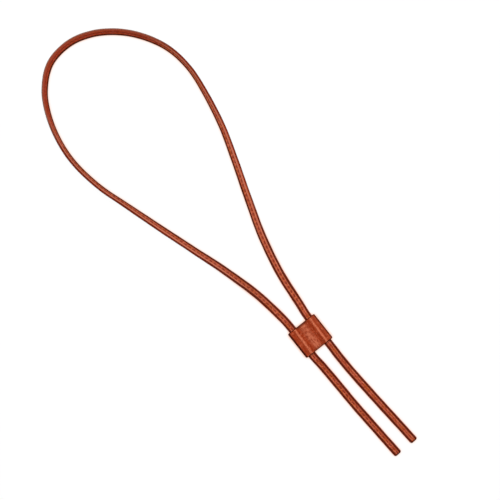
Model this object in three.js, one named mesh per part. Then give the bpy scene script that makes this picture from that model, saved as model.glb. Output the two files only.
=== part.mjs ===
// Drawstring strap for a bucket purse: one long two-ply leather strap laid in a loop, and the
// leather slider that both of its legs run through.
// Units are millimetres and +Z is up. +Y runs along the slider, from the cut ends to the loop,
// and +X runs across it. The strap lies on the plane z = 0, and the origin is the middle of the
// underside of the box that holds the whole strap.

import * as THREE from 'three';

// Strap
const STRAP_WIDTH = 6.1;
const STRAP_THICKNESS = 1.6;
const STRAP_EDGE_RADIUS = 0.7;
const STRAP_STEPS = 80;

// Slider: one band of leather, wrapped round both legs and sewn flat between them. It is thicker
// where it turns round the outer side of a leg than above and below it.
const LEG_SPACING = 15.2;
const FIT_GAP = 0.3;
const BAND_WALL = 1.3;
const SIDE_WALL = 1.6;
const SLIDER_LENGTH = 22.8;
const SLIDER_WIDTH = LEG_SPACING + STRAP_WIDTH + 2 * (FIT_GAP + SIDE_WALL);
const SLIDER_HEIGHT = STRAP_THICKNESS + 2 * (FIT_GAP + BAND_WALL);
const CREST_RISE = 0.25;
const CREST_INSET = 0.7;
const WEB_THICKNESS = 2.8;
const WEB_HALF_WIDTH = 3.3;
const BASE_HALF_WIDTH = 2.5;

// The band's wall lifts the legs off the floor inside the slider, and they ease down outside it
const LIFT = BAND_WALL + FIT_GAP;
const LIFT_LEVEL = SLIDER_LENGTH / 2 + 1;
const LIFT_RUN = 26;

const LEG_X = LEG_SPACING / 2;
const STRAIGHT_Y = 14;

// The strap's route seen from above, measured from the slider's centre: from the right cut end,
// up through the slider, round the loop and back down to the left cut end. Roll is how far the
// stitched face is turned from straight up towards the inside of the loop, in degrees.
const ROUTE = [
  { x: 12.3, y: -110.4, roll: 0 },
  { x: 10.4, y: -83, roll: 0 },
  { x: 8.7, y: -58, roll: 0 },
  { x: 7.6, y: -36, roll: 0 },
  { x: 7.4, y: -24, roll: 0 },
  { x: LEG_X, y: -STRAIGHT_Y, roll: 0 },
  { x: LEG_X, y: STRAIGHT_Y, roll: 0 },
  { x: 8.7, y: 24, roll: 0 },
  { x: 11.5, y: 50.6, roll: 4 },
  { x: 17.9, y: 79.9, roll: 17 },
  { x: 27.1, y: 108.6, roll: 33 },
  { x: 37, y: 137, roll: 39 },
  { x: 45.9, y: 164.8, roll: 45 },
  { x: 51.8, y: 194.2, roll: 53 },
  { x: 53.7, y: 214.7, roll: 57 },
  { x: 50.7, y: 234.6, roll: 54 },
  { x: 42.4, y: 252.1, roll: 47 },
  { x: 29.4, y: 267.7, roll: 44 },
  { x: 12.8, y: 279.1, roll: 41 },
  { x: -5.9, y: 284.4, roll: 39 },
  { x: -26, y: 281.2, roll: 43 },
  { x: -41.5, y: 268.3, roll: 51 },
  { x: -51.1, y: 251.3, roll: 56 },
  { x: -56.7, y: 231.9, roll: 58 },
  { x: -58.3, y: 211.8, roll: 57 },
  { x: -54.6, y: 185.9, roll: 57 },
  { x: -47.7, y: 163.5, roll: 54 },
  { x: -38.6, y: 135, roll: 43 },
  { x: -29.2, y: 106.4, roll: 39 },
  { x: -19.8, y: 77.9, roll: 22 },
  { x: -12, y: 48.9, roll: 7 },
  { x: -8.2, y: 24, roll: 0 },
  { x: -LEG_X, y: STRAIGHT_Y, roll: 0 },
  { x: -LEG_X, y: -STRAIGHT_Y, roll: 0 },
  { x: -6.9, y: -24, roll: 0 },
  { x: -6.5, y: -36, roll: 0 },
  { x: -6, y: -58, roll: 0 },
  { x: -4.8, y: -83, roll: 0 },
  { x: -3.2, y: -110.7, roll: 0 },
];

const UP = new THREE.Vector3(0, 0, 1);
const strapLeather = new THREE.MeshStandardMaterial({ color: 0xb0603f, roughness: 0.5, metalness: 0 });
const sliderLeather = new THREE.MeshStandardMaterial({ color: 0xa34f2e, roughness: 0.48, metalness: 0 });

function roundedRectangle(path, centreX, centreY, width, height, radius) {
  const left = centreX - width / 2;
  const right = centreX + width / 2;
  const low = centreY - height / 2;
  const high = centreY + height / 2;
  path.moveTo(right, low + radius);
  path.lineTo(right, high - radius);
  path.absarc(right - radius, high - radius, radius, 0, Math.PI / 2);
  path.lineTo(left + radius, high);
  path.absarc(left + radius, high - radius, radius, Math.PI / 2, Math.PI);
  path.lineTo(left, low + radius);
  path.absarc(left + radius, low + radius, radius, Math.PI, 1.5 * Math.PI);
  path.lineTo(right - radius, low);
  path.absarc(right - radius, low + radius, radius, 1.5 * Math.PI, 2 * Math.PI);
  return path;
}

// Height of the strap's centre over the floor when its lowest point touches it
function restHeight(roll) {
  const flatWidth = STRAP_WIDTH / 2 - STRAP_EDGE_RADIUS;
  const flatThickness = STRAP_THICKNESS / 2 - STRAP_EDGE_RADIUS;
  return flatWidth * Math.sin(roll) + flatThickness * Math.cos(roll) + STRAP_EDGE_RADIUS;
}

function liftAt(y) {
  const fall = THREE.MathUtils.smoothstep(Math.abs(y), LIFT_LEVEL, LIFT_LEVEL + LIFT_RUN);
  return LIFT * (1 - fall);
}

function rollAt(curve, u) {
  const row = curve.getUtoTmapping(u) * (ROUTE.length - 1);
  const before = Math.min(Math.floor(row), ROUTE.length - 2);
  const degrees = THREE.MathUtils.lerp(ROUTE[before].roll, ROUTE[before + 1].roll, row - before);
  return THREE.MathUtils.degToRad(degrees);
}

// The strap starts as a straight strip one unit long: x across it, y through its thickness, and
// z the share of its length. Each vertex is then carried to its station on the route.
function strapGeometry() {
  const plan = ROUTE.map(({ x, y }) => new THREE.Vector3(x, y, 0));
  const curve = new THREE.CatmullRomCurve3(plan, false, 'centripetal');
  curve.arcLengthDivisions = 2000;

  const section = roundedRectangle(
    new THREE.Shape(), 0, 0, STRAP_WIDTH, STRAP_THICKNESS, STRAP_EDGE_RADIUS);
  const strip = new THREE.ExtrudeGeometry(section, {
    depth: 1, steps: STRAP_STEPS, curveSegments: 1, bevelEnabled: false,
  });

  const position = strip.attributes.position;
  for (let i = 0; i < position.count; i += 1) {
    const u = THREE.MathUtils.clamp(position.getZ(i), 0, 1);
    const centre = curve.getPointAt(u);
    const tangent = curve.getTangentAt(u);
    const roll = rollAt(curve, u);
    const across = new THREE.Vector3().crossVectors(UP, tangent).applyAxisAngle(tangent, -roll);
    const through = UP.clone().applyAxisAngle(tangent, -roll);
    centre.z = restHeight(roll) + liftAt(centre.y);
    centre.addScaledVector(across, position.getX(i));
    centre.addScaledVector(through, position.getY(i));
    position.setXYZ(i, centre.x, centre.y, centre.z);
  }
  strip.computeVertexNormals();
  return strip;
}

// Right half of the band's section seen from the cut ends. The top runs from the web over a low
// crest above the leg and round the outer side to the flat base, and the underside runs on from
// there back to the web.
function halfSection() {
  const middle = SLIDER_HEIGHT / 2;
  const webTop = middle + WEB_THICKNESS / 2;
  const outerX = SLIDER_WIDTH / 2;
  const crestX = LEG_X - CREST_INSET;
  const crest = SLIDER_HEIGHT + CREST_RISE;
  const top = [
    { x: WEB_HALF_WIDTH * 0.75, z: webTop },
    { x: WEB_HALF_WIDTH, z: webTop },
    { x: WEB_HALF_WIDTH + 1.0, z: webTop + 0.62 },
    { x: crestX - 1.6, z: crest - 0.25 },
    { x: crestX, z: crest },
    { x: crestX + 2.3, z: crest - 0.2 },
    { x: outerX - 1.3, z: middle + 2.12 },
    { x: outerX - 0.3, z: middle + 1.2 },
    { x: outerX, z: middle },
    { x: outerX - 0.3, z: middle - 1.4 },
    { x: outerX - 1.2, z: middle - 2.15 },
    { x: LEG_X + BASE_HALF_WIDTH, z: 0 },
  ];
  const underside = [
    { x: LEG_X - BASE_HALF_WIDTH, z: 0 },
    { x: LEG_X - BASE_HALF_WIDTH - 1.0, z: 0.45 },
    { x: WEB_HALF_WIDTH, z: middle - WEB_THICKNESS / 2 },
  ];
  return { top, underside };
}

function addSpline(shape, rows) {
  const points = rows.map(({ x, z }) => new THREE.Vector2(x, z));
  shape.lineTo(points[0].x, points[0].y);
  shape.splineThru(points.slice(1));
}

function mirrored(rows) {
  return rows.map(({ x, z }) => ({ x: -x, z })).reverse();
}

function sliderGeometry() {
  const { top, underside } = halfSection();
  const band = new THREE.Shape();
  band.moveTo(-top[0].x, top[0].z);
  addSpline(band, top);
  addSpline(band, underside);
  addSpline(band, mirrored(underside));
  addSpline(band, mirrored(top));

  for (const side of [1, -1]) {
    band.holes.push(roundedRectangle(
      new THREE.Path(), side * LEG_X, SLIDER_HEIGHT / 2,
      STRAP_WIDTH + 2 * FIT_GAP, STRAP_THICKNESS + 2 * FIT_GAP, STRAP_EDGE_RADIUS + FIT_GAP / 2));
  }

  const geometry = new THREE.ExtrudeGeometry(band, {
    depth: SLIDER_LENGTH, steps: 1, curveSegments: 3, bevelEnabled: false,
  });
  geometry.translate(0, 0, -SLIDER_LENGTH / 2);
  geometry.rotateX(Math.PI / 2);
  return geometry;
}

const strap = new THREE.Mesh(strapGeometry(), strapLeather);
strap.name = 'drawstring_strap';

const slider = new THREE.Mesh(sliderGeometry(), sliderLeather);
slider.name = 'slider_band';

const purseStrap = new THREE.Group();
purseStrap.add(strap, slider);

const box = new THREE.Box3().setFromObject(purseStrap, true);
const middle = box.getCenter(new THREE.Vector3());
purseStrap.position.set(-middle.x, -middle.y, -box.min.z);

export default purseStrap;
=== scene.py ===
"""Looks of a leather drawstring purse strap: one long sewn strap laid in a teardrop loop, and the
leather slider that both of its legs run through. Everything is in metres, in the frame of the
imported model: +Y runs along the slider towards the loop, +X across it, and z = 0 is the floor."""

import math

import bmesh
import bpy
import numpy as np
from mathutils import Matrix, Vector
from mathutils.geometry import tessellate_polygon


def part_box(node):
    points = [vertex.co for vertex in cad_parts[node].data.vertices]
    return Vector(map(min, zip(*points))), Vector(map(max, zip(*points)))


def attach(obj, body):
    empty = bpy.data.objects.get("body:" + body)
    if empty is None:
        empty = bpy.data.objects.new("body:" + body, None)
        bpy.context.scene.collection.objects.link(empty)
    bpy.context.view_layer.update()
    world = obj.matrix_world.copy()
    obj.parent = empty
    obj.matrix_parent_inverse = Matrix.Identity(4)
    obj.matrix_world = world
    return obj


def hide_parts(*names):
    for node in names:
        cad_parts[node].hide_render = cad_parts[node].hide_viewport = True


MM = 0.001
UP = np.array([0.0, 0.0, 1.0])

# Strap. Its edges carry a thin bead of paint, which stands proud of the leather and wavers a little.
# EDGE_WAVES gives each wave's share of the waver, its length for one radian, and its phase, which
# has the opposite sign on the other edge. The cut ends are rounded, and thinned less than narrowed.
STRAP_WIDTH = 6.1 * MM
STRAP_THICKNESS = 1.6 * MM
EDGE_BEAD = 0.07 * MM
EDGE_WAVER = 0.065 * MM
EDGE_WAVES = ((0.54, 5.3 * MM, 2), (0.46, 2.1 * MM, 4))
PAINTED_HALF_WIDTH = STRAP_WIDTH / 2 + EDGE_BEAD
FACE_PLACES = np.array([0, 0.16, 0.34, 0.6, 0.95, 1.3, 1.7, 2.1, 2.5]) * MM
FACE_HALF_WIDTH = FACE_PLACES[-1]
EDGE_TURNS = np.radians([22, 45, 68])
END_ROUNDING = 1.5 * MM
END_DEPTHS = END_ROUNDING * np.array([0, 0.04, 0.13, 0.28, 0.5, 0.75])
END_THINNING = 0.62

# Two raised bands run beside the groove that the stitches lie in. Between two stitches the groove is
# at its full depth, and the bands are pulled down a little.
BAND_PLACE = 0.95 * MM
BAND_SPREAD = 0.55 * MM
BAND_SINK = 0.18 * MM
BAND_PULL = 0.03 * MM
GROOVE_DEPTH = 0.16 * MM
GROOVE_SPREAD = 0.3 * MM
GROOVE_UNDER_STITCHES = 0.55

# Stitching
STITCH_PITCH = 3.8 * MM
STITCH_LENGTH = 2.7 * MM
STITCH_SLANT = 0.12 * MM
FIRST_STITCH = 3.2 * MM
RINGS_PER_STITCH = 8
RINGS_BEFORE_STITCHES = 4
THREAD_RADIUS = 0.22 * MM
THREAD_SINK = 0.03 * MM
THREAD_SIDES = 6
THREAD_RINGS = 9
THREAD_END_RADIUS = 0.72
HOLE_DIP = 0.34 * MM
HOLE_STEEPNESS = 5
STITCH_PHASE = -2 * math.pi * FIRST_STITCH / STITCH_PITCH

# Slider. Its crests lean to +X, more so towards the loop, and the lean is gone at CREST_REACH, two
# distances from the middle line. Its corners are rounded as seen from above, over
# SLIDER_CORNER_REACH, two distances from its sides. Its top, which starts over TOP_SHARE of its
# height, is domed and slightly uneven.
FIT_GAP = 0.3 * MM
BAND_WALL = 1.3 * MM
LEG_X = 7.6 * MM
STRAIGHT_Y = 14 * MM
CREST_RISE = 0.25 * MM
CREST_INSET = 0.5 * MM
CREST_LEAN = 0.5 * MM
CREST_SLANT = 0.03
CREST_REACH = (3.5 * MM, 11 * MM)
WEB_THICKNESS = 2.8 * MM
WEB_HALF_WIDTH = 3.3 * MM
BASE_HALF_WIDTH = 2.5 * MM
CHANNEL_ROUNDING = 0.85 * MM
CHANNEL_CORNER_STEPS = 6
SLIDER_EDGE_ROUNDING = 0.35 * MM
SLIDER_EDGE_TURNS = np.radians([22, 45, 68, 90])
SLIDER_CORNER_ROUNDING = 1.1 * MM
SLIDER_CORNER_DEPTH = 0.7 * SLIDER_CORNER_ROUNDING
SLIDER_CORNER_REACH = (2.5 * MM, 0.5 * MM)
SLIDER_RINGS = 44
OUTLINE_SAMPLES = 8
TOP_SHARE = (0.6, 0.8)
TOP_DOME = 0.1 * MM
TOP_RIPPLE = 0.025 * MM

# The route of the strap seen from above, measured from the slider's centre: x, y and roll, the
# angle in degrees that the stitched face is turned by towards the inside of the loop.
ROUTE = [
    (0.0123, -0.1104, 0),
    (0.0104, -0.083, 0),
    (0.0087, -0.058, 0),
    (0.0076, -0.036, 0),
    (0.0074, -0.024, 0),
    (LEG_X, -STRAIGHT_Y, 0),
    (LEG_X, STRAIGHT_Y, 0),
    (0.0087, 0.024, 0),
    (0.0115, 0.0506, 4),
    (0.0179, 0.0799, 17),
    (0.0272, 0.1086, 29),
    (0.0371, 0.137, 34),
    (0.046, 0.1648, 41),
    (0.0519, 0.1942, 51),
    (0.0537, 0.2147, 55),
    (0.0507, 0.2346, 52),
    (0.0424, 0.2521, 45),
    (0.0294, 0.2677, 43),
    (0.0128, 0.2791, 40),
    (-0.0059, 0.2844, 38),
    (-0.026, 0.2812, 41),
    (-0.0415, 0.2683, 49),
    (-0.0511, 0.2513, 54),
    (-0.0567, 0.2319, 56),
    (-0.0583, 0.2118, 55),
    (-0.0546, 0.1859, 55),
    (-0.0477, 0.1635, 52),
    (-0.0386, 0.135, 40),
    (-0.0292, 0.1064, 36),
    (-0.0198, 0.0779, 22),
    (-0.012, 0.0489, 7),
    (-0.0082, 0.024, 0),
    (-LEG_X, STRAIGHT_Y, 0),
    (-LEG_X, -STRAIGHT_Y, 0),
    (-0.0069, -0.024, 0),
    (-0.0065, -0.036, 0),
    (-0.006, -0.058, 0),
    (-0.0048, -0.083, 0),
    (-0.0032, -0.1107, 0),
]
SAMPLES_PER_SPAN = 60
HEADING_REACH = 1.5 * MM
PATH_POINTS = 400

# The legs rise to the slider's channels, and are at full height this far outside its ends
LIFT = BAND_WALL + FIT_GAP
LIFT_MARGIN = 1 * MM
LIFT_RUN = 26 * MM

# Camera, which looks straight down at the strap
CAMERA_ROLL = -38.4
CAMERA_LENS = 240.0
SENSOR_WIDTH = 36.0
VIEW_WIDTH = 0.375
VIEW_LEVEL = 2.5 * MM
VIEW_CENTRE = (4.65 * MM, 78.6 * MM)

# Studio. The lights' target is measured from the slider's centre. Each softbox is its name, place,
# size and watts, and whether it shows in the leather's gloss.
LIGHT_TARGET = (0, 0.08, 0)
SOFTBOXES = (
    ("top", (0.05, 0.1, 1.4), 0.8, 11, True),
    ("key", (0.5, 0.8, 1.2), 0.6, 12, True),
    ("left_fill", (-1.2, 0.1, 0.35), 0.9, 2.5, False),
    ("right_fill", (1.2, -0.4, 0.35), 0.9, 3, False),
)
WHITE = (1.0, 1.0, 1.0)
FLOOR_SIZE = 6
FLOOR_GREY = (0.05, 0.05, 0.05)
FLOOR_GLOW = 0.95
# Painted bounce light and painted contact shadow in the floor's glow
FLOOR_BOUNCE = (1.0, 0.62, 0.48)
FLOOR_CONTACT_SHADOW = (0.40, 0.17, 0.12)
FLOOR_BOUNCE_REACH = 2.6 * MM

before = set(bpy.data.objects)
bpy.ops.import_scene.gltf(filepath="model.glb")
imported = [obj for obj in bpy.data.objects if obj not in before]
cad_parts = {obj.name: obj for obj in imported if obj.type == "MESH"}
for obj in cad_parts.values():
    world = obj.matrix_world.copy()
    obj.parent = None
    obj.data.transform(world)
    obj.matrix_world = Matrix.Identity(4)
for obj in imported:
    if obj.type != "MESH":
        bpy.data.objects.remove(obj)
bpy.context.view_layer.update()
slider_low, slider_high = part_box("slider_band")
slider_centre = np.array((slider_low + slider_high) / 2) * (1, 1, 0)
slider_size = np.array(slider_high - slider_low)


# ---------------------------------------------------------------------------- geometry helpers

def smoothstep(value, low, high):
    """Rises from 0 at low to 1 at high, or falls where high is below low."""
    share = np.clip((value - low) / (high - low), 0, 1)
    return share * share * (3 - 2 * share)


def make_piece(name, vertices, faces, place, material):
    """A smooth mesh, its faces turned outwards, with the place in millimetres that its material
    reads as an attribute."""
    mesh = bpy.data.meshes.new(name)
    mesh.from_pydata([tuple(v) for v in vertices], [], [tuple(f) for f in faces])
    mesh.validate()
    attribute = mesh.attributes.new("place_mm", "FLOAT_VECTOR", "POINT")
    attribute.data.foreach_set("vector", (np.asarray(place) / MM).astype(np.float32).ravel())
    shell = bmesh.new()
    shell.from_mesh(mesh)
    bmesh.ops.recalc_face_normals(shell, faces=shell.faces)
    shell.to_mesh(mesh)
    shell.free()
    mesh.shade_smooth()
    mesh.materials.append(material)
    piece = bpy.data.objects.new(name, mesh)
    bpy.context.scene.collection.objects.link(piece)
    return piece


def tube_faces(rings, sides, first=0):
    """Quads that join each ring of a tube to the next one."""
    faces = []
    for ring in range(rings - 1):
        start = first + ring * sides
        for side in range(sides):
            after = (side + 1) % sides
            faces.append((start + side, start + after, start + sides + after, start + sides + side))
    return faces


# ------------------------------------------------------------------------------------ the route

def weighted(t, start, end, value, next_value):
    """The value at t on the straight way from value, at start, to next_value, at end."""
    return ((end - t) * value + (t - start) * next_value) / (end - start)


def catmull_rom(points, samples_per_span):
    """Centripetal Catmull-Rom curve through the points, and the row that each sample lies at."""
    padded = np.vstack([2 * points[0] - points[1], points, 2 * points[-1] - points[-2]])
    curve, rows = [], []
    for span in range(len(points) - 1):
        near = padded[span:span + 4]
        knots = np.cumsum([0] + [np.linalg.norm(near[k + 1] - near[k]) ** 0.5 for k in range(3)])
        last = span == len(points) - 2
        for share in np.linspace(0, 1, samples_per_span, endpoint=last):
            t = knots[1] + share * (knots[2] - knots[1])
            twos = [weighted(t, knots[k], knots[k + 1], near[k], near[k + 1]) for k in range(3)]
            threes = [weighted(t, knots[k], knots[k + 2], twos[k], twos[k + 1]) for k in range(2)]
            curve.append(weighted(t, knots[1], knots[2], *threes))
            rows.append(span + share)
    return np.array(curve), np.array(rows)


class Route:
    """The strap's centre line and the directions across it and out of its stitched face."""

    def __init__(self, lowest_point):
        table = np.array(ROUTE)
        self.plan, rows = catmull_rom(table[:, :2], SAMPLES_PER_SPAN)
        roll = np.interp(rows, np.arange(len(table)), np.radians(table[:, 2]))
        half_window = SAMPLES_PER_SPAN // 2
        window = np.ones(2 * half_window + 1) / (2 * half_window + 1)
        self.roll = np.convolve(np.pad(roll, half_window, mode="edge"), window, mode="valid")
        steps = np.linalg.norm(np.diff(self.plan, axis=0), axis=1)
        self.along = np.concatenate([[0], np.cumsum(steps)])
        self.length = self.along[-1]
        self.lowest_point = lowest_point

    def plan_at(self, along):
        """The x and y of places along the strap."""
        return np.stack([np.interp(along, self.along, self.plan[:, k]) for k in (0, 1)], axis=-1)

    def station(self, along):
        """Centre, across and through vectors at distances along the strap."""
        along = np.asarray(along, float)
        ahead = np.clip(along + HEADING_REACH, 0, self.length)
        behind = np.clip(along - HEADING_REACH, 0, self.length)
        heading = self.plan_at(ahead) - self.plan_at(behind)
        heading = np.concatenate([heading, np.zeros_like(heading[..., :1])], axis=-1)
        heading /= np.linalg.norm(heading, axis=-1, keepdims=True)
        roll = np.interp(along, self.along, self.roll)
        left = np.cross(UP, heading)
        cosine, sine = np.cos(roll)[..., None], np.sin(roll)[..., None]
        across = left * cosine - UP * sine
        through = UP * cosine + left * sine
        x, y = np.moveaxis(self.plan_at(along), -1, 0)
        lift_level = slider_size[1] / 2 + LIFT_MARGIN
        lift = LIFT * (1 - smoothstep(np.abs(y), lift_level, lift_level + LIFT_RUN))
        height = self.lowest_point(roll) + lift
        centre = np.stack([x, y, height], axis=-1) + slider_centre
        return centre, across, through


# ------------------------------------------------------------------------------------ the strap

def face_height(across, along):
    """Height of the strap's face over its middle plane: two soft bands beside a sewn groove."""
    place = np.abs(across)
    bands = np.exp(-((place - BAND_PLACE) / BAND_SPREAD) ** 2)
    groove = np.exp(-(place / GROOVE_SPREAD) ** 2)
    pull = 0.5 + 0.5 * np.cos(2 * math.pi * (along - FIRST_STITCH) / STITCH_PITCH)
    pulled_groove = GROOVE_UNDER_STITCHES + (1 - GROOVE_UNDER_STITCHES) * pull
    height = STRAP_THICKNESS / 2 - BAND_SINK * (1 - bands) - GROOVE_DEPTH * groove * pulled_groove
    return height - BAND_PULL * pull * bands


def strap_section():
    """Across places of one face's points, and the share of its height that each of them keeps where
    the edge is rounded."""
    flat = np.concatenate([-FACE_PLACES[:0:-1], FACE_PLACES])
    edge = FACE_HALF_WIDTH + (PAINTED_HALF_WIDTH - FACE_HALF_WIDTH) * np.sin(EDGE_TURNS)
    edge_share = np.cos(EDGE_TURNS)
    across = np.concatenate([-edge[::-1], flat, edge])
    height_share = np.concatenate([edge_share[::-1], np.ones(len(flat)), edge_share])
    return across, height_share


def wavered(across, waver):
    """Across places with the painted edge moved out or in by a waver that runs from -1 to 1."""
    edge_share = smoothstep(np.abs(across), FACE_HALF_WIDTH, PAINTED_HALF_WIDTH)
    return across + np.sign(across) * EDGE_WAVER * waver * edge_share


def strap_lowest(roll):
    """Height of the centre line over the floor when the lowest point of the section touches it."""
    across, height_share = strap_section()
    middle_of_stitch = FIRST_STITCH + STITCH_PITCH / 2
    height = face_height(across, middle_of_stitch) * height_share
    height = np.concatenate([height, -height, [0, 0]])
    across = np.concatenate([across, across, [-PAINTED_HALF_WIDTH, PAINTED_HALF_WIDTH]])
    across = wavered(across, 1)
    roll = np.atleast_1d(roll)[:, None]
    return -(height * np.cos(roll) - across * np.sin(roll)).min(axis=1)


def strap_ring_places(length):
    """Distances along the strap of its rings: close at the rounded ends, even between them."""
    ring_step = STITCH_PITCH / RINGS_PER_STITCH
    steps = np.arange(-RINGS_BEFORE_STITCHES, round(length / ring_step))
    middle = FIRST_STITCH + ring_step * steps
    middle = middle[(middle > END_ROUNDING) & (middle < length - END_ROUNDING)]
    return np.concatenate([END_DEPTHS, middle, (length - END_DEPTHS)[::-1]])


def strap_end_faces(one_side, last):
    """The two cut ends: strips from face to face, and a triangle at each edge. One side is the
    number of a face's points in a ring, and last is where the last ring's points start."""
    faces = []
    for k in range(one_side - 1):
        under = 2 * one_side - k
        faces.append((k, k + 1, under - 1, under))
        faces.append((last + under, last + under - 1, last + k + 1, last + k))
    left_edge, right_edge = 2 * one_side + 1, one_side
    faces.append((0, 2 * one_side, left_edge))
    faces.append((one_side - 1, right_edge, one_side + 1))
    faces.append((last + left_edge, last + 2 * one_side, last))
    faces.append((last + one_side + 1, last + right_edge, last + one_side - 1))
    return faces


def strap_mesh(route):
    """Rings along the strap. Each ring runs over the face, round one edge, back under and round."""
    along = strap_ring_places(route.length)
    from_end = np.minimum(along, route.length - along)
    inset = np.clip(1 - from_end / END_ROUNDING, 0, 1)
    inset = END_ROUNDING * (1 - np.sqrt(1 - inset ** 2))[:, None]

    face_across, height_share = strap_section()
    one_side = len(face_across)
    widest = [PAINTED_HALF_WIDTH]
    ring_across = np.concatenate([face_across, widest, face_across[::-1], np.negative(widest)])
    side = np.concatenate([np.ones(one_side), [0], -np.ones(one_side), [0]])
    ring_share = np.concatenate([height_share, [0], height_share[::-1], [0]])

    grid_along, grid_across = np.meshgrid(along, ring_across, indexing="ij")
    waver = sum(
        share * np.sin(grid_along / wave_length + shift * np.sign(grid_across))
        for share, wave_length, shift in EDGE_WAVES
    )
    narrowing = 1 - inset / PAINTED_HALF_WIDTH
    thinning = 1 - END_THINNING * inset / (STRAP_THICKNESS / 2)
    placed_across = wavered(grid_across, waver) * narrowing
    placed_through = side * ring_share * face_height(grid_across, grid_along) * thinning

    centre, across, through = route.station(along)
    vertices = (centre[:, None] + placed_across[..., None] * across[:, None]
                + placed_through[..., None] * through[:, None])
    sides = len(ring_across)
    faces = [face[::-1] for face in tube_faces(len(along), sides)]
    faces += strap_end_faces(one_side, (len(along) - 1) * sides)
    place = np.stack([grid_across, grid_along, placed_through], axis=-1)
    return vertices.reshape(-1, 3), faces, place.reshape(-1, 3)


def stitches(route, side):
    """One row of thread down the middle of a face, each stitch dipping into its holes."""
    sides, rings = THREAD_SIDES, THREAD_RINGS
    count = int((route.length - 2 * FIRST_STITCH) / STITCH_PITCH)
    starts = FIRST_STITCH + STITCH_PITCH * np.arange(count)
    share = np.linspace(0, 1, rings)
    lift = 1 - np.abs(2 * share - 1) ** HOLE_STEEPNESS
    height = STRAP_THICKNESS / 2 - THREAD_SINK - THREAD_RADIUS - HOLE_DIP * (1 - lift)
    radius = THREAD_RADIUS * (THREAD_END_RADIUS + (1 - THREAD_END_RADIUS) * lift)
    sideways = STITCH_SLANT * (2 * share - 1)
    turn = 2 * math.pi * np.arange(sides) / sides
    vertices, faces, place = [], [], []
    for start in starts:
        along = start + (STITCH_PITCH - STITCH_LENGTH) / 2 + STITCH_LENGTH * share
        centre, across, through = route.station(along)
        first = len(vertices)
        for ring in range(rings):
            for angle in turn:
                to_side = sideways[ring] + radius[ring] * math.cos(angle)
                outwards = side * (height[ring] + radius[ring] * math.sin(angle))
                vertices.append(centre[ring] + to_side * across[ring] + outwards * through[ring])
                place.append((angle * MM, along[ring], 0))
        faces += tube_faces(rings, sides, first)
        faces.append(tuple(range(first, first + sides)))
        faces.append(tuple(range(first + rings * sides - 1, first + (rings - 1) * sides - 1, -1)))
    return vertices, faces, place


# ----------------------------------------------------------------------------------- the slider

def slider_outline():
    """The band's section, anticlockwise in x and z, and how near a crest each of its points is."""
    height = STRAP_THICKNESS + 2 * (FIT_GAP + BAND_WALL)
    middle = height / 2
    web_top = middle + WEB_THICKNESS / 2
    web_bottom = middle - WEB_THICKNESS / 2
    outer = slider_size[0] / 2
    crest_x = LEG_X - CREST_INSET
    crest = height + CREST_RISE
    half = np.array([
        # over the web
        (0, web_top + 0.35 * MM),
        (WEB_HALF_WIDTH * 0.6, web_top + 0.2 * MM),
        (WEB_HALF_WIDTH, web_top - 0.1 * MM),
        (WEB_HALF_WIDTH + 1.1 * MM, web_top + 0.15 * MM),
        # over the crest
        (crest_x - 1.2 * MM, crest - 0.4 * MM),
        (crest_x, crest),
        (crest_x + 1.3 * MM, crest - 0.3 * MM),
        (crest_x + 2.8 * MM, crest - 0.45 * MM),
        # round the outer side
        (outer - 1.3 * MM, middle + 2.12 * MM),
        (outer - 0.3 * MM, middle + 1.2 * MM),
        (outer, middle),
        (outer - 0.3 * MM, middle - 1.4 * MM),
        (outer - 1.2 * MM, middle - 2.15 * MM),
        # along the floor, and up under the web
        (LEG_X + BASE_HALF_WIDTH, 0),
        (LEG_X, 0),
        (LEG_X - BASE_HALF_WIDTH, 0),
        (LEG_X - BASE_HALF_WIDTH - 1.0 * MM, 0.45 * MM),
        (WEB_HALF_WIDTH, web_bottom),
        (0, web_bottom),
    ], float)
    half, _ = catmull_rom(half, OUTLINE_SAMPLES)
    half[:, 1] = np.maximum(half[:, 1], 0)
    mirrored = half[-2:0:-1] * (-1, 1)
    outline = np.vstack([half, mirrored])[::-1]
    from_middle = np.abs(outline[:, 0])
    near_crest = smoothstep(from_middle, CREST_REACH[0], crest_x)
    near_crest *= smoothstep(from_middle, CREST_REACH[1], crest_x + 1 * MM)
    return outline, near_crest * (outline[:, 1] > middle)


def channel_outline(side):
    """The channel that one leg of the strap runs through, clockwise in x and z."""
    radius = CHANNEL_ROUNDING
    half_width = STRAP_WIDTH / 2 + FIT_GAP - radius
    half_height = STRAP_THICKNESS / 2 + FIT_GAP - radius
    middle = STRAP_THICKNESS / 2 + FIT_GAP + BAND_WALL
    points = []
    for quarter, (sx, sz) in enumerate(((1, 1), (-1, 1), (-1, -1), (1, -1))):
        for step in range(CHANNEL_CORNER_STEPS + 1):
            angle = math.radians(90 * (quarter + step / CHANNEL_CORNER_STEPS))
            points.append((
                side * LEG_X + sx * half_width + radius * math.cos(angle),
                middle + sz * half_height + radius * math.sin(angle),
            ))
    return np.array(points)[::-1]


def slider_ring_places():
    """Each ring's place along the slider, and how far the rounded rim draws it in."""
    half_length = slider_size[1] / 2
    rim = SLIDER_EDGE_ROUNDING
    rim_steps = half_length - rim * (1 - np.sin(SLIDER_EDGE_TURNS))
    rim_inset = rim * (1 - np.cos(SLIDER_EDGE_TURNS))
    spread = np.sin(np.linspace(-math.pi / 2, math.pi / 2, SLIDER_RINGS))
    along = np.concatenate([-rim_steps[::-1], (half_length - rim) * spread, rim_steps])
    inset = np.concatenate([rim_inset[::-1], np.zeros(SLIDER_RINGS), rim_inset])
    return along, inset


def top_ripple(x, y):
    """The top's unevenness: a wave across it that one along it bends, and a slanted wave. Their
    lengths are in millimetres for one radian."""
    across, along = x / MM, y / MM
    bent = np.sin(across / 1.9 + 1.3 * np.sin(along / 3.1))
    slanted = np.sin(along / 2.3 + across / 3.7)
    return TOP_RIPPLE * (bent + 0.8 * slanted)


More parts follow.
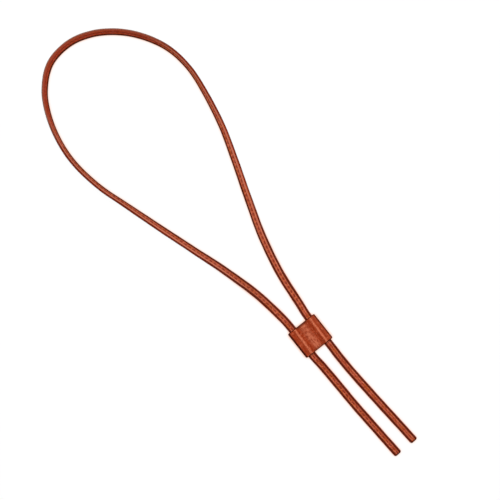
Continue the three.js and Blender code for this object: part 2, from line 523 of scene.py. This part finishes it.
def shaped_ring(ring, y, near_crest, outermost):
    """One ring of the skin with its crests leant, its corners rounded and its top uneven."""
    x, z = ring.T
    half_length = slider_size[1] / 2
    x = x + near_crest * (CREST_LEAN + CREST_SLANT * y)
    into_corner = max(0, 1 - (half_length - abs(y)) / SLIDER_CORNER_ROUNDING)
    corner = SLIDER_CORNER_DEPTH * (1 - math.sqrt(1 - into_corner ** 2))
    x = x - np.sign(x) * outermost * corner
    top = smoothstep(z / slider_size[2], *TOP_SHARE)
    dome = TOP_DOME * np.cos(math.pi * y / (2 * half_length))
    z = z - top * (TOP_DOME - dome - top_ripple(x, y))
    return [(px, y, pz) for px, pz in zip(x, z)]


def end_face(vertices, loops):
    """Triangles that fill a cut face between its rim and the mouths of its channels."""
    flat = [[Vector((vertices[i][0], vertices[i][2], 0)) for i in loop] for loop in loops]
    order = [i for loop in loops for i in loop]
    return [tuple(order[k] for k in triangle) for triangle in tessellate_polygon(flat)]


def slider_mesh():
    """The band: its outer skin with rounded rims, its two channels, and the two cut faces."""
    outline, near_crest = slider_outline()
    along, inset = slider_ring_places()
    tangent = np.roll(outline, -1, axis=0) - np.roll(outline, 1, axis=0)
    normal = np.stack([tangent[:, 1], -tangent[:, 0]], axis=1)
    normal /= np.linalg.norm(normal, axis=1, keepdims=True)
    from_side = slider_size[0] / 2 - np.abs(outline[:, 0])
    outermost = smoothstep(from_side, *SLIDER_CORNER_REACH)

    vertices = []
    for y, shrink in zip(along, inset):
        vertices += shaped_ring(outline - normal * shrink, y, near_crest, outermost)
    sides = len(outline)
    faces = tube_faces(len(along), sides)
    near_loops = [range(sides)]
    far_loops = [range((len(along) - 1) * sides, len(along) * sides)]
    for side in (1, -1):
        channel = channel_outline(side)
        count = len(channel)
        first = len(vertices)
        vertices += [(px, y, pz) for y in (along[0], along[-1]) for px, pz in channel]
        faces += tube_faces(2, count, first)
        near_loops.append(range(first, first + count))
        far_loops.append(range(first + count, first + 2 * count))
    faces += end_face(vertices, near_loops)
    faces += end_face(vertices, far_loops)
    return np.array(vertices) + slider_centre, faces, vertices


# ------------------------------------------------------------------------------------ materials

class Shader:
    """A material's node tree, built from short calls that take numbers, colours or sockets."""

    def __init__(self, name):
        self.material = bpy.data.materials.new(name)
        self.material.use_nodes = True
        self.nodes = self.material.node_tree.nodes
        self.links = self.material.node_tree.links
        self.principled = self.nodes["Principled BSDF"]

    def _feed(self, socket, value):
        if isinstance(value, bpy.types.NodeSocket):
            self.links.new(value, socket)
        elif isinstance(value, tuple) and len(value) == 3 and socket.type == "RGBA":
            socket.default_value = (*value, 1)
        else:
            socket.default_value = value

    def place(self):
        """The place attribute in millimetres: across, along, through, and all three as a vector."""
        node = self.nodes.new("ShaderNodeAttribute")
        node.attribute_name = "place_mm"
        split = self.nodes.new("ShaderNodeSeparateXYZ")
        self.links.new(node.outputs["Vector"], split.inputs[0])
        return split.outputs[0], split.outputs[1], split.outputs[2], node.outputs["Vector"]

    def math(self, operation, a, b=0.0, c=0.0):
        node = self.nodes.new("ShaderNodeMath")
        node.operation = operation
        for socket, value in zip(node.inputs, (a, b, c)):
            self._feed(socket, value)
        return node.outputs[0]

    def times(self, value, *others):
        """The product of all its values."""
        for other in others:
            value = self.math("MULTIPLY", value, other)
        return value

    def ramp(self, share, start, end):
        """A number that goes from start, where the share is 0, to end, where it is 1."""
        return self.math("MULTIPLY_ADD", share, end - start, start)

    def step(self, value, low, high):
        """Rises smoothly from 0 at low to 1 at high, or falls where high is below low."""
        node = self.nodes.new("ShaderNodeMapRange")
        node.interpolation_type = "SMOOTHSTEP"
        ends = (low, high, 0.0, 1.0) if low < high else (high, low, 1.0, 0.0)
        for socket, number in zip(node.inputs, (value, *ends)):
            self._feed(socket, number)
        return node.outputs[0]

    def within(self, value, rise, fall):
        """1 between a rise and a fall, which are a low and a high each, as step takes them."""
        return self.times(self.step(value, *rise), self.step(value, *fall))

    def noise(self, place, scale, detail, roughness=0.55):
        """Cloudy noise. Its scale is in waves a millimetre: a number, or one for each direction."""
        if isinstance(scale, tuple):
            stretch = self.nodes.new("ShaderNodeVectorMath")
            stretch.operation = "MULTIPLY"
            self._feed(stretch.inputs[0], place)
            stretch.inputs[1].default_value = scale
            place, scale = stretch.outputs[0], 1.0
        node = self.nodes.new("ShaderNodeTexNoise")
        self._feed(node.inputs["Vector"], place)
        node.inputs["Scale"].default_value = scale
        node.inputs["Detail"].default_value = detail
        node.inputs["Roughness"].default_value = roughness
        return node.outputs["Fac"]

    def pebbles(self, place, scale):
        """Rounded cells, with a distance from each one's middle."""
        node = self.nodes.new("ShaderNodeTexVoronoi")
        node.feature = "SMOOTH_F1"
        self._feed(node.inputs["Vector"], place)
        node.inputs["Scale"].default_value = scale
        return node.outputs["Distance"]

    def mix(self, share, a, b):
        node = self.nodes.new("ShaderNodeMix")
        node.data_type = "RGBA"
        self._feed(node.inputs["Factor"], share)
        colours = [s for s in node.inputs if s.type == "RGBA"]
        self._feed(colours[0], a)
        self._feed(colours[1], b)
        return next(s for s in node.outputs if s.type == "RGBA")

    def tint(self, colour, towards, mask, strength):
        """The colour, moved by the strength towards another one where the mask is 1."""
        return self.mix(self.times(mask, strength), colour, towards)

    def bump(self, height, strength, distance):
        node = self.nodes.new("ShaderNodeBump")
        node.inputs["Strength"].default_value = strength
        node.inputs["Distance"].default_value = distance
        self._feed(node.inputs["Height"], height)
        self.links.new(node.outputs[0], self.principled.inputs["Normal"])

    def leather_bump(self, pores, grain, strength):
        relief = self.math("MULTIPLY_ADD", pores, 0.5, self.times(grain, 0.6))
        self.bump(relief, strength, LEATHER_RELIEF)

    def finish(self, **inputs):
        for name, value in inputs.items():
            self._feed(self.principled.inputs[name.replace("_", " ")], value)
        return self.material


LEATHER_RELIEF = 0.06 * MM
LEATHER_SHEEN = (1.0, 0.42, 0.27)

# The strap's colours
STRAP_DEEP = (0.24, 0.022, 0.007)
STRAP_TAN = (0.50, 0.070, 0.020)
# Worn leather on the bands, and also used for painted highlights beside the stitches
STRAP_WEAR_AND_HIGHLIGHT = (0.64, 0.15, 0.066)
STRAP_ROSE = (0.55, 0.088, 0.046)
STRAP_GOLD = (0.50, 0.092, 0.008)
STRAP_PALE_ROSE = (0.70, 0.23, 0.14)
DIM_SHADE = (0.18, 0.033, 0.016)
# Painted shade for the face round the far bend, which is turned from the light
BEND_FACE_SHADE = (0.30, 0.020, 0.004)
RIM_HIGHLIGHT = (0.66, 0.20, 0.12)
EDGE_PAINT = (0.06, 0.005, 0.0012)
EDGE_PAINT_PALE = (0.15, 0.018, 0.005)
EDGE_WALL = (0.26, 0.018, 0.004)
EDGE_HIGHLIGHT = (0.34, 0.13, 0.085)
STITCH_HOLE_SHADE = (0.13, 0.008, 0.002)
SEAM_RED = (0.36, 0.028, 0.005)

# Thread: its twist is in radians a millimetre
THREAD_DARK = (0.15, 0.013, 0.004)
THREAD_LIGHT = (0.40, 0.052, 0.016)
THREAD_TWIST = 9.0
THREAD_RELIEF = 0.05 * MM

# Masks along the strap, in millimetres from its right cut end. A pair is where a mask is 0 and where
# it is full, and two pairs are how it starts and how it ends.
FAR_BEND = ((340.0, 375.0), (520.0, 485.0))
TWISTED = ((150.0, 200.0), (715.0, 670.0))
THIN_PAINT = ((160.0, 220.0), (665.0, 635.0))
DIM_LEG = ((480.0, 530.0), (735.0, 690.0))
BRIGHT_LEG = ((140.0, 170.0), (232.0, 212.0))
RIGHT_TAIL = (135.0, 125.0)
RIGHT_LEG = (310.0, 250.0)
LEFT_TAIL = (727.0, 737.0)

# Masks by how far they are from the strap's middle line, in millimetres
BAND_INNER = (0.25, 0.6)
BAND_OUTER = (1.7, 1.1)
BRIGHT_BANDS = (0.5, 1.0)
BESIDE_STITCHES = (1.5, 0.7)
SEAM = (0.9, 0.45)
SEWN_GROOVE = (0.5, 0.2)
HIGHLIT_RIM = ((0.6, 1.0), (2.1, 1.7))
PAINTED_EDGE = (1.2, 1.95)
EDGE_WALL_PLACE = (2.4, 2.8)

# Masks across the strap, in millimetres: positive on the inside of the loop and between the tails
TAIL_INNER_SIDE = (0.3, 1.3)
REDDENED_SIDE = (-0.8, 0.4)
OUTER_SIDE = (0.0, -1.0)
BEND_RIM = (-0.7, -1.8)

# Mask by the distance from a cut end, in millimetres
PAINTED_END = (1.05, 0.5)

# How far the bands and the paint's border stray, how much less far in the paint reaches where it is
# thin, and how much further in where the strap lies flat, in millimetres
BAND_WANDER = 0.4
PAINT_RAGGEDNESS = 0.15
THIN_PAINT_LESS = 0.95
FLAT_PAINT_MORE = 0.15


class StrapLeather(Shader):
    """Sewn strap: worn raised bands, a sewn groove darkened with painted shade at its stitch holes,
    dark painted edges, and painted light and shade where it leans. The first colour is the face's,
    and each later step takes the colour so far and returns the next."""

    def __init__(self, length):
        super().__init__("strap_leather")
        self.across, self.along, _, place = self.place()
        self.side = self.math("ABSOLUTE", self.across)
        to_left_end = self.math("SUBTRACT", length / MM, self.along)
        self.from_end = self.math("MINIMUM", self.along, to_left_end)
        wander = self.ramp(self.noise(place, (0.0, 0.028, 0.0), 1.0), -BAND_WANDER, BAND_WANDER)
        self.drifted_side = self.math("ABSOLUTE", self.math("ADD", self.across, wander))

        self.clouds = self.noise(place, (0.3, 0.09, 0.3), 2.0)
        self.patches = self.noise(place, (0.2, 0.16, 0.2), 2.0)
        self.mottle = self.noise(place, (1.0, 0.5, 1.0), 4.0, 0.62)
        self.flecks = self.noise(place, (0.9, 0.65, 0.9), 2.0)
        self.grain = self.noise(place, 3.2, 4.0, 0.6)
        self.pores = self.pebbles(place, 2.6)
        self.ragged = self.ramp(self.noise(place, 1.6, 3.0), -PAINT_RAGGEDNESS, PAINT_RAGGEDNESS)

        self.bend = self.within(self.along, *FAR_BEND)
        self.dim = self.within(self.along, *DIM_LEG)
        self.bright = self.within(self.along, *BRIGHT_LEG)
        self.twist = self.within(self.along, *TWISTED)
        self.right_tail = self.step(self.along, *RIGHT_TAIL)
        self.left_tail = self.step(self.along, *LEFT_TAIL)
        self.tails = self.math("ADD", self.right_tail, self.left_tail)
        self.outer = self.step(self.across, *OUTER_SIDE)
        self.bend_outer = self.times(self.bend, self.outer)
        self.leg_outer = self.math("SUBTRACT", self.times(self.twist, self.outer), self.bend_outer)

    def face(self):
        """Mottled leather with patches of rose and gold, flecks, and wear on its two bands."""
        colour = self.mix(self.step(self.mottle, 0.3, 0.68), STRAP_DEEP, STRAP_TAN)
        colour = self.tint(colour, STRAP_TAN, self.step(self.clouds, 0.3, 0.7), 0.5)
        colour = self.tint(colour, STRAP_ROSE, self.step(self.patches, 0.5, 0.62), 0.7)
        band = self.times(
            self.step(self.side, *BAND_INNER),
            self.step(self.drifted_side, *BAND_OUTER),
        )
        wear = self.times(band, self.step(self.mottle, 0.36, 0.62))
        colour = self.tint(colour, STRAP_WEAR_AND_HIGHLIGHT, wear, 0.8)
        colour = self.tint(colour, STRAP_PALE_ROSE, self.step(self.flecks, 0.52, 0.7), 0.5)
        colour = self.tint(colour, STRAP_DEEP, self.step(self.flecks, 0.48, 0.3), 0.45)
        return self.tint(colour, STRAP_GOLD, self.step(self.patches, 0.5, 0.38), 0.5)

    def legs_and_tails(self, colour):
        """Painted shade on the left leg, a brighter stretch of the right leg, and tails whose inner
        sides are darker, and on the left tail redder too."""
        # Painted shade: the left leg is darkened
        colour = self.tint(colour, DIM_SHADE, self.dim, 0.38)
        colour = self.tint(colour, STRAP_WEAR_AND_HIGHLIGHT, self.bright, 0.35)
        bright_bands = self.times(self.bright, self.step(self.side, *BRIGHT_BANDS))
        colour = self.tint(colour, STRAP_PALE_ROSE, bright_bands, 0.22)
        inner = self.times(self.tails, self.step(self.across, *TAIL_INNER_SIDE))
        colour = self.tint(colour, STRAP_DEEP, inner, self.ramp(self.right_tail, 0.3, 0.42))
        reddened = self.times(self.left_tail, self.step(self.across, *REDDENED_SIDE))
        return self.tint(colour, SEAM_RED, reddened, 0.32)

    def stitch_row(self, colour):
        """Painted shade beside each stitch and a painted highlight between two, and painted shade in
        the sewn groove with a painted highlight where leather bridges it.
        """
        turn = self.math("MULTIPLY_ADD", self.along, 2 * math.pi * MM / STITCH_PITCH, STITCH_PHASE)
        between_stitches = self.math("COSINE", turn)
        beside = self.times(
            self.step(self.side, *BESIDE_STITCHES),
            self.ramp(self.tails, 1.0, 0.0),
            self.ramp(self.bend, 1.0, 0.0),
            self.ramp(self.step(self.along, *RIGHT_LEG), 0.35, 1.0),
        )
        # Painted shade beside each stitch, where the thread pulls the leather in
        shade_beside_stitches = self.times(beside, self.step(between_stitches, 0.0, -0.9))
        colour = self.tint(colour, STRAP_DEEP, shade_beside_stitches, 0.5)
        # A painted highlight on the raised leather between two stitches
        highlight_between_stitches = self.times(beside, self.step(between_stitches, 0.0, 0.9))
        colour = self.tint(colour, STRAP_WEAR_AND_HIGHLIGHT, highlight_between_stitches, 0.35)
        # Painted shade along the seam on the brighter stretch
        seam_shade = self.times(self.bright, self.step(self.side, *SEAM))
        colour = self.tint(colour, SEAM_RED, seam_shade, 0.7)
        # Painted shade in the sewn groove and its stitch holes
        groove_shade = self.times(self.step(self.side, *SEWN_GROOVE), self.ramp(self.right_tail, 1.0, 0.5))
        colour = self.tint(colour, STITCH_HOLE_SHADE, groove_shade, 0.6)
        # A painted highlight on the leather that bridges the groove between two stitches
        bridge_highlight = self.times(groove_shade, self.step(between_stitches, 0.2, 0.8))
        return self.tint(colour, STRAP_WEAR_AND_HIGHLIGHT, bridge_highlight, 0.7)

    def leaning_rim(self, colour):
        """A painted highlight on the outer rim where the strap leans and the rim faces up to the
        light, and painted shade on the face round the far bend, which is turned from the light.
        """
        # Painted shade on the face round the far bend
        colour = self.tint(colour, BEND_FACE_SHADE, self.bend, 0.68)
        # A faint painted highlight on the outer rim round the far bend
        bend_rim_highlight = self.times(self.bend, self.step(self.across, *BEND_RIM))
        colour = self.tint(colour, STRAP_PALE_ROSE, bend_rim_highlight, 0.12)
        # The painted highlight on the leaning outer rim
        rim = self.times(
            self.within(self.side, *HIGHLIT_RIM),
            self.leg_outer,
            self.ramp(self.dim, 1.0, 0.8),
            self.ramp(self.bright, 1.0, 0.4),
        )
        return self.tint(colour, RIM_HIGHLIGHT, rim, 0.85)

    def paint_mask(self):
        """Where the edge paint lies: thinly on the loop's outer side, and a little further in where
        the strap lies flat."""
        thinned = self.times(
            self.outer,
            self.within(self.along, *THIN_PAINT),
            self.ramp(self.dim, 1.0, 0.5),
            self.ramp(self.bright, 1.0, 0.7),
        )
        from_middle = self.math("ADD", self.drifted_side, self.ragged)
        from_middle = self.math("MULTIPLY_ADD", thinned, -THIN_PAINT_LESS, from_middle)
        from_middle = self.math("ADD", from_middle, self.ramp(self.twist, FLAT_PAINT_MORE, 0.0))
        return self.step(from_middle, *PAINTED_EDGE)

    def paint_colour(self):
        """Dark paint, scuffed here and there, redder on the edge's wall, and lighter on the bend's
        outer edge with a painted highlight.
        """
        # Real scuffs from the grain, and a painted highlight on the outer edge round the bend, which
        # faces up to the light
        scuffs_and_highlight = self.math("MAXIMUM", self.step(self.grain, 0.4, 0.75), self.bend_outer)
        colour = self.mix(scuffs_and_highlight, EDGE_PAINT, EDGE_PAINT_PALE)
        lying_flat = self.ramp(self.twist, 1.0, 0.0)
        red_wall = self.math("MAXIMUM", lying_flat, self.times(self.leg_outer, 0.5))
        wall = self.times(self.step(self.side, *EDGE_WALL_PLACE), red_wall)
        colour = self.mix(wall, colour, EDGE_WALL)
        # The painted highlight on the outer edge round the bend
        return self.tint(colour, EDGE_HIGHLIGHT, self.bend_outer, 0.6)

    def build(self):
        colour = self.face()
        colour = self.legs_and_tails(colour)
        colour = self.stitch_row(colour)
        colour = self.leaning_rim(colour)
        paint = self.paint_mask()
        colour = self.mix(paint, colour, self.paint_colour())
        end_paint = self.step(self.math("ADD", self.from_end, self.ragged), *PAINTED_END)
        colour = self.mix(end_paint, colour, EDGE_PAINT)
        matt_paint = self.times(paint, self.ramp(self.bend_outer, 1.0, 0.0))
        roughness = self.math("MULTIPLY_ADD", matt_paint, 0.2, self.ramp(self.mottle, 0.36, 0.61))
        self.leather_bump(self.pores, self.grain, 0.35)
        return self.finish(Base_Color=colour, Roughness=roughness, Specular_IOR_Level=0.3,
                           Specular_Tint=LEATHER_SHEEN)


# The slider's colours
SLIDER_DEEP = (0.20, 0.018, 0.004)
SLIDER_RED = (0.40, 0.046, 0.010)
SLIDER_WEAR_AND_HIGHLIGHT = (0.62, 0.165, 0.083)
CREST_BURNISH_AND_HIGHLIGHT = (0.66, 0.17, 0.082)
LEFT_SIDE_SHADED_PAINT = (0.10, 0.009, 0.003)

# Masks on the slider, in millimetres: by the distance from its middle line and from a crest's line
WEB_PLACE = (4.2, 0.8)
DARK_WEB_PLACE = (5.5, 4.0)
CREST_LINE = (1.3, 0.3)

# By the place across it, along it, and over the floor
# The right flank's place, where the colour is lightened as painted light on the side facing the
# light
RIGHT_FLANK_LIT = (9.2, 10.4)
LEFT_HALF = (0.0, -1.0)
FAR_HALF = (-1.0, 1.0)
TOP_LEVEL = (3.0, 3.6)

# By the distance from its sides and from its cut ends
PAINTED_SIDES = (1.4, 0.6)
PAINTED_CUTS = (0.7, 0.3)
DARK_WEB_ENDS = (2.2, 1.2)

# How far its paint's border strays, and how much broader the left side's paint is with painted
# shade, in millimetres
SLIDER_RAGGEDNESS = 0.25
LEFT_SHADE_MORE = 0.5


def slider_leather():
    """Slider: burnished crests with a painted highlight, a mottled web between them, lighter partly
    from wear and partly from painted light, a painted highlight on its right flank, and dark painted
    rims with painted shade on the left.
    """
    shader = Shader("slider_leather")
    across, along, height, place = shader.place()
    side = shader.math("ABSOLUTE", across)
    mottle = shader.noise(place, (0.55, 0.3, 0.3), 4.0, 0.62)
    streaks = shader.noise(place, (1.1, 0.5, 0.8), 4.0, 0.66)
    flecks = shader.noise(place, (0.8, 0.6, 0.8), 2.0)
    grain = shader.noise(place, 2.8, 4.0, 0.6)

    blotches = shader.math("MULTIPLY_ADD", mottle, 0.5, shader.times(streaks, 0.5))
    colour = shader.mix(shader.step(blotches, 0.38, 0.62), SLIDER_DEEP, SLIDER_RED)
    colour = shader.mix(0.35, colour, SLIDER_RED)
    # The web is lighter towards its middle, partly from wear and partly as painted light on its
    # upward-facing dome
    web = shader.times(shader.step(side, *WEB_PLACE), shader.step(streaks, 0.32, 0.6))
    colour = shader.tint(colour, SLIDER_WEAR_AND_HIGHLIGHT, web, 0.85)
    # The crest lines are burnished, and lighter still with a painted highlight that leans towards
    # the light
    lean = shader.math("MULTIPLY_ADD", along, CREST_SLANT, CREST_LEAN / MM)
    from_lean = shader.math("ABSOLUTE", shader.math("SUBTRACT", across, lean))
    from_crest = shader.math("SUBTRACT", from_lean, (LEG_X - CREST_INSET) / MM)
    crest = shader.step(shader.math("ABSOLUTE", from_crest), *CREST_LINE)
    crest = shader.times(crest, shader.step(streaks, 0.25, 0.56))
    colour = shader.mix(shader.times(crest, shader.step(height, *TOP_LEVEL)), colour, CREST_BURNISH_AND_HIGHLIGHT)
    colour = shader.tint(colour, SLIDER_WEAR_AND_HIGHLIGHT, shader.step(flecks, 0.52, 0.7), 0.4)
    colour = shader.tint(colour, SLIDER_DEEP, shader.step(flecks, 0.48, 0.3), 0.4)
    # Painted light: the right flank, which faces the light, is lightened
    colour = shader.tint(colour, SLIDER_WEAR_AND_HIGHLIGHT, shader.step(across, *RIGHT_FLANK_LIT), 0.12)

    # Painted sides, broader and darker on the left with painted shade on the side away from the
    # light, then the web's dark ends and the painted ends
    ragged = shader.ramp(grain, -SLIDER_RAGGEDNESS, SLIDER_RAGGEDNESS)
    left = shader.step(across, *LEFT_HALF)
    from_side = shader.math("SUBTRACT", slider_size[0] / 2 / MM, side)
    from_side = shader.math("MULTIPLY_ADD", left, -LEFT_SHADE_MORE, from_side)
    side_paint = shader.step(shader.math("ADD", from_side, ragged), *PAINTED_SIDES)
    colour = shader.mix(side_paint, colour, shader.mix(left, EDGE_PAINT_PALE, LEFT_SIDE_SHADED_PAINT))
    from_end = shader.math("SUBTRACT", slider_size[1] / 2 / MM, shader.math("ABSOLUTE", along))
    dark_end = shader.times(
        shader.step(side, *DARK_WEB_PLACE),
        shader.step(from_end, *DARK_WEB_ENDS),
    )
    end_strength = shader.ramp(shader.step(along, *FAR_HALF), 0.45, 0.85)
    colour = shader.tint(colour, EDGE_PAINT_PALE, dark_end, end_strength)
    end_paint = shader.step(shader.math("ADD", from_end, ragged), *PAINTED_CUTS)
    colour = shader.mix(end_paint, colour, EDGE_PAINT)

    roughness = shader.math("MULTIPLY_ADD", crest, -0.15, shader.ramp(mottle, 0.5, 0.7))
    shader.leather_bump(shader.pebbles(place, 2.1), grain, 0.25)
    return shader.finish(Base_Color=colour, Roughness=roughness, Specular_IOR_Level=0.22,
                         Specular_Tint=LEATHER_SHEEN)


def sewing_thread():
    """Waxed thread with the twist of its plies, given painted shade round the far bend as the
    leather is, and rubbed to the leather's tan on the right tail."""
    shader = Shader("sewing_thread")
    turn, along, _, place = shader.place()
    # The plies' dark and light colours are painted shade in the grooves between them and a painted
    # highlight on their crowns
    plies = shader.math("SINE", shader.math("MULTIPLY_ADD", along, THREAD_TWIST, turn))
    shade = shader.step(plies, -1.0, 1.0)
    colour = shader.mix(shade, THREAD_DARK, THREAD_LIGHT)
    # Painted shade round the far bend, as on the leather
    colour = shader.tint(colour, BEND_FACE_SHADE, shader.within(along, *FAR_BEND), 0.5)
    colour = shader.tint(colour, STRAP_TAN, shader.step(along, *RIGHT_TAIL), 0.5)
    fuzz = shader.noise(place, 4.0, 3.0)
    shader.bump(shader.math("MULTIPLY_ADD", fuzz, 0.4, shade), 0.6, THREAD_RELIEF)
    return shader.finish(Base_Color=colour, Roughness=0.5)


def white_floor():
    """White glow, with painted red bounce light beside the leather and a painted contact shadow
    beneath it.
    """
    shader = Shader("white_floor")
    node = shader.nodes.new("ShaderNodeAmbientOcclusion")
    node.inputs["Distance"].default_value = FLOOR_BOUNCE_REACH
    openness = node.outputs["AO"]
    colour = shader.mix(shader.step(openness, 1.0, 0.45), WHITE, FLOOR_BOUNCE)
    colour = shader.mix(shader.step(openness, 0.5, 0.1), colour, FLOOR_CONTACT_SHADOW)
    return shader.finish(Base_Color=FLOOR_GREY, Roughness=0.9, Emission_Color=colour,
                         Emission_Strength=FLOOR_GLOW)


# ---------------------------------------------------------------------------- camera and pieces

def add_camera():
    data = bpy.data.cameras.new("camera")
    data.lens = CAMERA_LENS
    data.sensor_width = SENSOR_WIDTH
    camera = bpy.data.objects.new("camera", data)
    bpy.context.scene.collection.objects.link(camera)
    height = VIEW_WIDTH * CAMERA_LENS / SENSOR_WIDTH
    camera.location = slider_centre + (*VIEW_CENTRE, VIEW_LEVEL + height)
    camera.rotation_euler = (0, 0, math.radians(CAMERA_ROLL))
    bpy.context.scene.camera = camera


def add_softbox(name, location, size, watts, shows_in_gloss):
    data = bpy.data.lights.new(name, "AREA")
    data.shape = "DISK"
    data.size = size
    data.energy = watts
    light = bpy.data.objects.new(name, data)
    bpy.context.scene.collection.objects.link(light)
    light.location = location
    light.visible_camera = False
    light.visible_glossy = shows_in_gloss
    aim = Vector(slider_centre + LIGHT_TARGET) - Vector(location)
    light.rotation_euler = aim.to_track_quat("-Z", "Y").to_euler()


def add_studio():
    """White world and floor that only the camera sees, and softboxes that light the strap."""
    world = bpy.data.worlds.new("studio")
    world.use_nodes = True
    background = world.node_tree.nodes["Background"]
    background.inputs["Color"].default_value = (*WHITE, 1)
    background.inputs["Strength"].default_value = 1.0
    bpy.context.scene.world = world
    world.cycles_visibility.diffuse = False
    world.cycles_visibility.glossy = False
    for softbox in SOFTBOXES:
        add_softbox(*softbox)

    bpy.ops.mesh.primitive_plane_add(size=FLOOR_SIZE)
    floor = bpy.context.object
    floor.name = "floor"
    floor.data.materials.append(white_floor())
    floor.visible_diffuse = False
    floor.visible_glossy = False
    bpy.context.scene.view_settings.view_transform = "Standard"


def add_strap():
    route = Route(strap_lowest)
    strap = make_piece("sewn_strap", *strap_mesh(route), StrapLeather(route.length).build())
    thread = sewing_thread()
    rows = [
        make_piece(name, *stitches(route, side), thread)
        for name, side in (("face_stitching", 1), ("back_stitching", -1))
    ]
    path, _, _ = route.station(np.linspace(0, route.length, PATH_POINTS))
    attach(strap, "root")
    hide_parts("drawstring_strap")
    for row in rows:
        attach(row, "root")


def add_slider():
    slider = make_piece("sewn_slider", *slider_mesh(), slider_leather())
    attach(slider, "root")
    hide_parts("slider_band")


add_camera()
add_strap()
add_slider()
add_studio()
